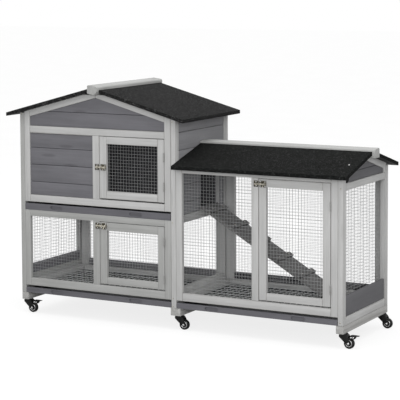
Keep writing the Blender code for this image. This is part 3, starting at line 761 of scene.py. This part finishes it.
def felt_slab(name, plane, ridge, slope, eave, ridge_end, along, material, node, slot):
    """A plywood slope with felt laid over it and folded down its edges."""
    piece = Piece(name)
    middle, top = ridge
    lip = 0.0016

    def level(across, drop):
        return top - abs(across - middle) * slope - drop

    toward = math.copysign(1, ridge_end - eave)
    outer = [(eave, level(eave, ROOF)), (ridge_end, level(ridge_end, ROOF))]
    outer += [(ridge_end, level(ridge_end, 0)), (eave, level(eave, 0))]
    ply_eave = eave + toward * lip
    ply = [(ply_eave, level(ply_eave, ROOF - 0.0002)), (ridge_end, level(ridge_end, ROOF - 0.0002))]
    ply += [(ridge_end, level(ridge_end, lip)), (ply_eave, level(ply_eave, lip))]
    direction = AXES["x"] if plane == "yz" else AXES["y"]
    inside = (along[0] + lip, along[1] - along[0] - 2 * lip)
    # The ply is near-black timber, so its underside paints the shade under the eaves.
    piece.prism(plane, ply, *inside, DARK_TIMBER_SHADE, direction, 0.0004)
    sheet = [(eave, level(eave, 0)), (ridge_end, level(ridge_end, 0))]
    sheet += [(ridge_end, level(ridge_end, lip)), (eave + toward * lip, level(eave + toward * lip, lip))]
    sheet += [(eave + toward * lip, level(eave, ROOF)), (eave, level(eave, ROOF))]
    piece.prism(plane, sheet, *inside, material, direction, 0.0005)
    for end in (along[0], along[1] - lip):
        piece.prism(plane, outer, end, lip, material, direction, 0.0006)
    piece.done("hutch", slot, node)


def make_roofs():
    house = ("xz", HOUSE_RIDGE, HOUSE_SLOPE, HOUSE_FELT)
    # The run's roof takes the darker felt copy: painted shade.
    run = ("yz", RUN_RIDGE, RUN_SLOPE, SHADED_RUN_FELT)
    for part, side, near, far, roof in (
        ("house", "left", 0, 1, house),
        ("house", "right", 1, 0, house),
        ("run", "front", 0, 1, run),
        ("run", "back", 1, 0, run),
    ):
        plane, ridge, slope, material = roof
        node = f"{part}_roof_{side}"
        x, y, _ = span(node)
        across, along = (x, y) if plane == "xz" else (y, x)
        shape = (plane, ridge, slope, across[near], across[far], along)
        felt_slab(f"{part}_{side}_slope", *shape, material, node, part + "_roof_felt")
    x, y, _ = span("run_roof_front")
    eave, end = y[0], x[1]
    low = RUN_RIDGE[1] - (RUN_RIDGE[0] - eave) * RUN_SLOPE - ROOF
    fold = [(eave, low + 0.006), (eave + 0.030, low + 0.014), (eave + 0.024, low - 0.004)]
    fold += [(eave + 0.012, low - 0.0105), (eave, low - 0.0085)]
    piece = Piece("run_felt_fold")
    # The fold takes the darker felt copy: painted shade.
    piece.prism("yz", fold, end - 0.0030, 0.0016, SHADED_RUN_FELT, "y", 0.0005)
    piece.done("hutch", "run_roof_felt")


def ridge_board(part, plane, corners):
    """A ridge board along its CAD node, on an outline with rounded corners."""
    x, y, _ = span(part + "_ridge_board")
    start, end = y if plane == "xz" else x
    piece = Piece(part + "_ridge_timber")
    # Ridge boards take the greyer whitewash: thinner coat and painted shade.
    piece.prism(plane, rounded(corners), start, end - start, GREYER_COAT_AND_SHADE, "y" if plane == "xz" else "x", 0.0012)
    piece.done("hutch", "whitewashed_wood", part + "_ridge_board")


def make_ridge_boards():
    middle = HOUSE_RIDGE[0]
    left, right = middle - 0.014, middle + 0.031
    corners = [(left, 0.8520, 0.002), (middle + 0.017, 0.8455, 0.006), (right, 0.8590, 0.006)]
    corners += [(right + 0.002, 0.8795, 0.008), (left, 0.8855, 0.006)]
    ridge_board("house", "xz", corners)
    front, back = RUN_RIDGE[0] - 0.014, RUN_RIDGE[0] + 0.0305
    corners = [(front, 0.6285, 0.002), (back, 0.6265, 0.002), (back, 0.6650, 0.008), (front, 0.6600, 0.006)]
    ridge_board("run", "yz", corners)


# -------- doors


def make_door(prefix, pane_x, pane_z):
    x, y, z = span(prefix + "_door")
    y, z = FRONT, (z[0] + 0.0012, z[1])
    # The lower door takes the greyer whitewash: thinner coat and painted shade.
    wood = (GREYER_COAT_AND_SHADE, GREYER_COAT_AND_SHADE) if prefix == "house_lower" else (WHITEWASH, WORN)
    piece = Piece(prefix + "_door_timbers", wood)
    piece.bar((x[0], pane_x[0]), y, z)
    piece.bar((pane_x[1], x[1]), y, z)
    rails = wider(pane_x, -SEAM)
    piece.bar(rails, y, (z[0], pane_z[0]))
    piece.bar(rails, y, (pane_z[1], z[1]))
    piece.done(prefix + "_door", "whitewashed_wood", prefix + "_door")
    reach = (wider(pane_x, 0.006), wider(pane_z, 0.006))
    wires(prefix + "_door_wires", "xz", *reach, FRONT[1] - 0.003, prefix + "_door", "galvanised_wire")


def make_hinge(prefix, which):
    """A butt hinge: knuckles and pin, one leaf in the frame and one let into the door's edge."""
    node = f"{prefix}_door_{which}_hinge"
    x, y, z = span(node)
    axis_x = x[0] + KNUCKLE
    axis_y = y[0] + KNUCKLE
    low, high = z
    length = (high - low) / 5
    fixed = Piece(node + "_fixed")
    moving = Piece(node + "_moving")
    for number in range(5):
        start = low + number * length + 0.0002
        stop = start + length - 0.0004
        piece = fixed if number % 2 == 0 else moving
        piece.rod((axis_x, axis_y, start), (axis_x, axis_y, stop), KNUCKLE, IRON, 20, 0.0004)
    fixed.rod((axis_x, axis_y, low - 0.0008), (axis_x, axis_y, high + 0.0008), 0.0015, IRON, 12, 0.0003)
    leaf_y = (axis_y + 0.0015, FRONT[1] - 0.002)
    fixed.bar((axis_x + 0.0002, axis_x + 0.0009), leaf_y, z, IRON, "z", 0.0002)
    moving.bar((axis_x - 0.0009, axis_x - 0.0002), leaf_y, z, IRON, "z", 0.0002)
    fixed.done("hutch", "antique_zinc", node)
    moving.done(prefix + "_door", "antique_zinc")


def make_latch(prefix):
    """A small barrel bolt: plate, sleeves, bolt with its turned-down knob, and the keeper on the frame."""
    x, y, z = span(prefix + "_latch")
    middle = sum(z) / 2
    front = -0.0018  # near face of the plates' seat on the wood
    centre_y = -0.0064  # the bolt's own line
    body = Piece(prefix + "_latch_plate")
    outline = rounded([(u, v, 0.003) for u, v in rectangle((x[0] + 0.0003, x[1]), z)])
    body.prism("xz", outline, front, 0.0015, BRONZE, "x", 0.0004)
    for start, end in ((x[0] + 0.0015, x[0] + 0.0115), (x[0] + 0.0225, x[0] + 0.0275)):
        profile = [(0, 0.0034), (0, 0.0050), (end - start, 0.0050), (end - start, 0.0034), (0, 0.0034)]
        body.turned((start, centre_y, middle), (1, 0, 0), profile, ZINC_GLINTS_AND_SHADE, 20)
    for u in (x[0] + 0.0045, x[1] - 0.0045):
        for v in (z[0] + 0.0040, z[1] - 0.0040):
            body.screw((u, front - 0.0003, v), (0, -1, 0), 0.0022, CHROME)
    body.done(prefix + "_door", "antique_zinc", prefix + "_latch")
    bolt = Piece(prefix + "_bolt_bar")
    tip = (x[0] - 0.0180, centre_y, middle)
    bolt.rod(tip, (x[0] + 0.0215, centre_y, middle), 0.0030, ZINC_GLINTS_AND_SHADE, 20, 0.0006)
    knob = Vector((x[0] + 0.0180, centre_y, middle))
    hang = knob + Vector((0, -0.0035, -0.0095))
    bolt.rod(knob, hang, 0.0017, ZINC_GLINTS_AND_SHADE, 14)
    half = [(-0.0022, 0), (-0.0020, 0.0014), (-0.0008, 0.0024)]
    profile = half + [(-along, radius) for along, radius in reversed(half)]
    bolt.turned(hang, hang - knob, profile, ZINC_GLINTS_AND_SHADE, 18)
    bolt.done(prefix + "_bolt", "antique_zinc", prefix + "_bolt")
    keeper = Piece(prefix + "_keeper")
    edge = span(prefix + "_door")[0][0] - 0.0020
    outline = rounded([(u, v, 0.002) for u, v in rectangle((edge - 0.0185, edge - 0.0005), z)])
    keeper.prism("xz", outline, front, 0.0015, BRONZE, "x", 0.0004)
    profile = [(0, 0.0036), (0, 0.0052), (0.0060, 0.0052), (0.0060, 0.0036), (0, 0.0036)]
    keeper.turned((edge - 0.0105, centre_y, middle), (1, 0, 0), profile, ZINC_GLINTS_AND_SHADE, 20)
    for v in (z[0] + 0.0040, z[1] - 0.0040):
        keeper.screw((edge - 0.0085, front - 0.0003, v), (0, -1, 0), 0.0022, CHROME)
    keeper.done("hutch", "antique_zinc")


def make_doors():
    panes = {
        "house_upper": ((0.4083, 0.6403), (0.4650, 0.6520)),
        "house_lower": ((0.4083, 0.6403), (0.1213, 0.3079)),
        "run": ((1.1073, 1.3378), (0.1213, 0.5225)),
    }
    for prefix, pane in panes.items():
        make_door(prefix, *pane)
        make_hinge(prefix, "lower")
        make_hinge(prefix, "upper")
        make_latch(prefix)


# -------- trays and ramp

SLOT_DEPTH = 0.005
TRAY_GAP = 0.0036  # the dark gap above each wooden front
TRAY_SLOTS = {  # the two finger slots of each tray, along the front
    "upper_tray": [(0.142, 0.199), (0.512, 0.569)],
    "lower_house_tray": [(0.141, 0.198), (0.509, 0.566)],
    "run_tray": [(0.8450, 0.9020), (1.2100, 1.2670)],
}


def make_tray(name):
    """A tray: its wooden front with blind finger slots and a gap above it, and a folded metal pan."""
    x, y, z = span(name)
    x, z = (x[0], x[1] - 0.0015), (z[0], z[1] - TRAY_GAP)
    middle = sum(z) / 2
    front, back = 0.013, 0.4048
    board = Piece(name + "_front")
    outer = [(*corner, 0.0010) for corner in rectangle(x, z)]
    slots = [slot_outline(pair, middle) for pair in TRAY_SLOTS[name]]
    board.add(pierced(rounded(outer, 2), slots, SLOT_DEPTH), TRAY_WOOD, "x")
    board.bar(wider(x, -0.0002), (SLOT_DEPTH, front), wider(z, -0.0002), TRAY_WOOD, "x", 0.0004)
    board.done(name, "tray_wood", name)
    pan = Piece(name + "_pan")
    floor = z[0] + 0.0006
    wall = 0.0012
    pan_x = wider(x, -0.0112)
    rim = z[0] + 0.0172
    y = (front + 0.0002, back)
    pan.bar(pan_x, y, (floor, floor + wall), PAN, "x", 0.0004)
    for side in pan_x:
        inner = side + math.copysign(wall, sum(pan_x) / 2 - side)
        pan.bar(tuple(sorted((side, inner))), y, (floor + wall, rim), PAN, "y", 0.0004)
    pan.bar(wider(pan_x, -wall), (y[1] - wall, y[1]), (floor + wall, rim), PAN, "x", 0.0004)
    pan.bar(wider(pan_x, -wall), (y[0], y[0] + wall), (floor + wall, floor + 0.006), PAN, "x", 0.0004)
    pan.done(name, "tray_wood")


def slot_outline(pair, middle):
    corners = rectangle(pair, (middle - 0.007, middle + 0.007))
    return rounded([(*corner, 0.0065) for corner in corners], 4)


def pierced(outline, holes, thickness):
    """A plate in the xz plane with holes, from a filled curve, its edges slightly eased."""
    curve = bpy.data.curves.new("pierced", "CURVE")
    curve.dimensions = "2D"
    curve.fill_mode = "BOTH"
    ease = 0.0005
    curve.extrude = thickness / 2 - ease
    curve.bevel_depth = ease
    curve.offset = -ease
    for ring in [outline, *holes]:
        spline = curve.splines.new("POLY")
        spline.points.add(len(ring) - 1)
        for point, (u, v) in zip(spline.points, ring):
            point.co = (u, v, 0, 1)
        spline.use_cyclic_u = True
    drawing = bpy.data.objects.new("pierced", curve)
    mesh = bpy.data.meshes.new_from_object(drawing)
    bpy.data.objects.remove(drawing)
    bpy.data.curves.remove(curve)
    shape = bmesh.new()
    shape.from_mesh(mesh)
    bpy.data.meshes.remove(mesh)
    bmesh.ops.remove_doubles(shape, verts=shape.verts, dist=1e-5)
    turn = Matrix.Translation((0, thickness / 2, 0)) @ Matrix.Rotation(math.pi / 2, 4, "X")
    bmesh.ops.transform(shape, matrix=turn, verts=shape.verts)
    bmesh.ops.recalc_face_normals(shape, faces=shape.faces)
    return shape


RAMP_SLOPE = math.radians(30.37)


def make_ramp():
    """A rough plank with five rounded cleats screwed across it."""
    piece = Piece("ramp_plank")
    pivot = Vector((0.7280, 0.265, 0.3934))
    tilt = Matrix.Translation(pivot) @ Matrix.Rotation(RAMP_SLOPE, 4, "Y")
    half, length, width = 0.006, 0.6425, 0.130

    def loose(outline, thickness, bevel):
        """A prism about the ramp's own middle line, still level."""
        part = Piece("part")
        part.prism("xz", outline, -thickness / 2, thickness, RAMP_WOOD, "x", bevel)
        mesh = bpy.data.meshes.new("part")
        part.shape.to_mesh(mesh)
        part.shape.free()
        shape = bmesh.new()
        shape.from_mesh(mesh)
        bpy.data.meshes.remove(mesh)
        return shape

    nose = [(-half * math.sin(a), half * math.cos(a)) for a in (math.pi * k / 8 for k in range(1, 8))]
    plank = [(0, -half), (length, -half), (length, half), (0, half)] + nose
    slope = Vector((math.cos(RAMP_SLOPE), 0, -math.sin(RAMP_SLOPE)))
    piece.add(loose(plank, width, 0.0010), RAMP_WOOD, slope, turn=tilt)
    for number in range(5):
        middle = 0.035 + number * 0.112
        top, lip = half + 0.0100, half + 0.0050
        cleat = [(-0.012, half, 0), (0.005, half, 0), (0.005, lip, 0.001), (0.012, lip, 0.001)]
        cleat += [(0.012, top, 0.0042), (-0.012, top, 0.0060)]
        outline = rounded([(middle + along, level, radius) for along, level, radius in cleat])
        piece.add(loose(outline, width + 0.003, 0.0010), RAMP_WOOD, "y", turn=tilt)
        # A near-black strip under each cleat's downhill face: painted shadow.
        shadow = rectangle((middle + 0.0052, middle + 0.0112), (half, lip - 0.0002))
        piece.add(loose(shadow, width - 0.001, 0.0002), DARK_TIMBER_SHADE, "y", turn=tilt)
        for side in (-0.042, 0.042):
            spot = tilt @ Vector((middle, side, top))
            piece.screw(spot, tilt.to_3x3() @ Vector((0, 0, 1)), 0.0028)
    piece.done("ramp", "ramp_wood", "ramp")


# -------- casters


def make_caster(name, x, y, braked):
    fork = Piece(name + "_housing")
    axle = Vector((x + 0.021, y, SOLE - 0.037))
    cap = [(0.0002, 0), (0.0002, 0.0150), (0.0022, 0.0160), (0.0040, 0.0160), (0.0048, 0.0130), (0.0048, 0)]
    fork.turned((x, y, SOLE), (0, 0, -1), cap, BLACK, 36)
    arm = [(-0.0160, -0.0045, 0.002), (0.0150, -0.0045, 0.005), (0.0215, -0.0150, 0.006)]
    arm += [(0.0275, -0.0310, 0.005), (0.0280, -0.0400, 0.0055), (0.0225, -0.0440, 0.0050)]
    arm += [(0.0150, -0.0410, 0.0055), (-0.0160, -0.0135, 0.004)]
    outline = [(x + u, SOLE + v) for u, v in rounded(arm, 6)]
    for start in (y - 0.0130, y + 0.0094):
        fork.prism("xz", outline, start, 0.0036, BLACK, "x", 0.0009)
    crown = [(-0.0155, -0.0045, 0.002), (0.0160, -0.0045, 0.003)]
    crown += [(0.0195, -0.0130, 0.002), (-0.0155, -0.0125, 0.002)]
    outline = [(x + u, SOLE + v) for u, v in rounded(crown, 3)]
    fork.prism("xz", outline, y - 0.0096, 0.0192, BLACK, "x", 0.0006)
    reach = Vector((0, 0.0126, 0))
    fork.rod(axle - reach, axle + reach, 0.0029, CHROME, 18)
    for side in (-1, 1):
        rivet = [(0, 0), (0, 0.0044), (0.0006, 0.0042), (0.0012, 0.0028), (0.0014, 0)]
        fork.turned(axle + side * reach, (0, side, 0), rivet, CHROME, 20)
    fork.done(name, "black_plastic", name + "_fork")
    make_wheel(name, axle)
    if braked:
        make_pedal(name, x, y)


def make_wheel(name, axle):
    """A plastic wheel: rounded tread, dished sides and a bright ring on each side."""
    wheel = Piece(name + "_tyre")
    tread = [(-0.0062, 0.0034), (-0.0062, 0.0080), (-0.0050, 0.0100), (-0.0050, 0.0135)]
    tread += [(-0.0076, 0.0148), (-0.0080, 0.0172), (-0.0068, 0.0192), (-0.0046, 0.0200)]
    profile = tread + [(-along, radius) for along, radius in reversed(tread)]
    profile.append(profile[0])
    wheel.turned(axle, (0, 1, 0), profile, TYRE, 48)
    for side in (-1, 1):
        wheel.ring(axle + Vector((0, side * 0.0060, 0)), (0, 1, 0), 0.0118, 0.0016, CHROME, (40, 10))
    wheel.done(name + "_wheel", "wheel_plastic", name + "_wheel")


def make_pedal(name, x, y):
    """The brake pedal: a cheeked body over the wheel with two rivets, and a thin ribbed tongue."""
    pedal = Piece(name + "_pedal")
    body = [(0.0264, -0.0170, 0.001), (0.0330, -0.0198, 0.002), (0.0415, -0.0203, 0.002)]
    body += [(0.0452, -0.0150, 0.003), (0.0470, -0.0088, 0), (0.0470, -0.0060, 0), (0.0264, -0.0060, 0.002)]
    outline = [(x + u, SOLE + v) for u, v in rounded(body, 4)]
    pedal.prism("xz", outline, y - 0.0094, 0.0188, BLACK, "x", 0.0008)
    tongue = [(0.0460, -0.0088), (0.0602, -0.0076), (0.0605, -0.0060), (0.0460, -0.0062)]
    pedal.prism("xz", [(x + u, SOLE + v) for u, v in tongue], y - 0.0075, 0.0150, BLACK, "x", 0.0006)
    for offset in (0.0490, 0.0525, 0.0560):
        ridge = ((x + offset, x + offset + 0.0012), (y - 0.0065, y + 0.0065), (SOLE - 0.0066, SOLE - 0.0054))
        pedal.bar(*ridge, BLACK, "y", 0.0003)
    rivet = [(0, 0), (0, 0.0032), (0.0005, 0.0030), (0.0011, 0.0018), (0.0013, 0)]
    for offset in (0.0305, 0.0395):
        for side in (-1, 1):
            spot = (x + offset, y + side * 0.0094, SOLE - 0.0135)
            pedal.turned(spot, (0, side, 0), rivet, CHROME, 16)
    pedal.done(name + "_brake_pedal", "black_plastic", name + "_brake_pedal")


def make_casters():
    for row, y in (("front", 0.030), ("back", 0.410)):
        for column, x in (("left", 0.013), ("middle", 0.720), ("right", 1.4115)):
            make_caster(f"{row}_{column}_caster", x, y, row == "front" and column != "middle")


# -------- screws


def make_screws():
    """The screw heads that show: down the partition, on the run's end, the left post and the run's roof."""
    piece = Piece("frame_screws")
    partition = ((0.706, 0.751), (0.705, 0.360), (0.7055, 0.064), (0.7055, 0.033))
    for x, z in (*partition, (1.4096, 0.5345), (1.408, 0.039), (0.0076, 0.7575)):
        piece.screw((x, -0.0001, z), (0, -1, 0), 0.0026)
    x, y = 1.4115, 0.072
    spot = (x, y, RUN_RIDGE[1] - abs(y - RUN_RIDGE[0]) * RUN_SLOPE)
    piece.screw(spot, (0, -RUN_SLOPE, 1), 0.0030, CHROME)
    piece.done("hutch", "galvanised_wire")


# -------- camera, floor and light

CAMERA_AT = Vector((3.67349, -5.28120, 1.31523))
YAW = math.radians(28.31)
PITCH = math.radians(4.545)
ROLL = math.radians(-0.247)
LENS = 142.53
SHIFT_Y = -0.2489


def make_camera():
    data = bpy.data.cameras.new("studio_camera")
    data.lens = LENS
    data.sensor_width = 36
    data.shift_y = SHIFT_Y
    data.clip_end = 60
    camera = shown("studio_camera", data)
    turn = Matrix.Rotation(YAW, 4, "Z") @ Matrix.Rotation(math.pi / 2 - PITCH, 4, "X")
    camera.matrix_world = Matrix.Translation(CORNER + CAMERA_AT) @ turn @ Matrix.Rotation(ROLL, 4, "Z")
    bpy.context.scene.camera = camera


def make_floor():
    shape = bmesh.new()
    bmesh.ops.create_grid(shape, x_segments=1, y_segments=1, size=30)
    mesh = bpy.data.meshes.new("floor")
    shape.to_mesh(mesh)
    shape.free()
    kit = Nodes("studio_floor")
    tone = kit.noise(scale=3, detail=2)
    seen = kit.add("LightPath").outputs["Is Camera Ray"]
    colour = kit.mix(seen, (0.42, 0.42, 0.42), kit.ramp(tone, (0.3, 0.21), (0.7, 0.23)))
    mesh.materials.append(kit.finish(colour, 0.9))
    kit.shader.inputs["Specular IOR Level"].default_value = 0.0
    kit.shader.inputs["Emission Color"].default_value = (1, 1, 1, 1)
    kit.link(kit.math("MULTIPLY", seen, 0.81), kit.shader.inputs["Emission Strength"])
    floor = shown("floor", mesh)
    floor.location.z = cad_box[0][2] - 0.0002


def area_light(name, at, toward, size, watts):
    data = bpy.data.lights.new(name, "AREA")
    data.shape = "RECTANGLE"
    data.size, data.size_y = size
    data.energy = watts
    lamp = shown(name, data)
    lamp.location = at
    lamp.rotation_euler = (Vector(toward) - Vector(at)).to_track_quat("-Z", "Y").to_euler()


def make_light():
    world = bpy.data.worlds.new("studio")
    bpy.context.scene.world = world
    world.use_nodes = True
    tree = world.node_tree
    seen = tree.nodes.new("ShaderNodeBackground")
    seen.inputs["Color"].default_value = (1, 1, 1, 1)
    lit = tree.nodes["Background"]
    lit.inputs["Color"].default_value = (1, 1, 1, 1)
    lit.inputs["Strength"].default_value = 0.80
    path = tree.nodes.new("ShaderNodeLightPath")
    mix = tree.nodes.new("ShaderNodeMixShader")
    tree.links.new(path.outputs["Is Camera Ray"], mix.inputs[0])
    tree.links.new(lit.outputs[0], mix.inputs[1])
    tree.links.new(seen.outputs[0], mix.inputs[2])
    tree.links.new(mix.outputs[0], tree.nodes["World Output"].inputs[0])
    area_light("key", (1.5, -4.4, 1.6), (0, 0, 0.45), (1.5, 1.2), 52)
    area_light("fill", (4.4, -1.6, 1.5), (0, 0, 0.5), (1.6, 1.6), 14)
    area_light("top", (0.2, -0.6, 4.2), (0, 0, 0.4), (3.0, 3.0), 75)
    bpy.context.scene.view_settings.view_transform = "Standard"


# -------- the hutch

make_camera()
make_floor()
make_light()
make_house_upper_front()
make_house_lower_front()
make_run_front()
make_side_walls()
make_run_end()
make_backs()
make_front_boards()
make_side_boards()
make_run_boards()
make_wire()
make_floors()
make_roofs()
make_ridge_boards()
make_doors()
for tray in TRAY_SLOTS:
    make_tray(tray)
make_ramp()
make_casters()
make_screws()
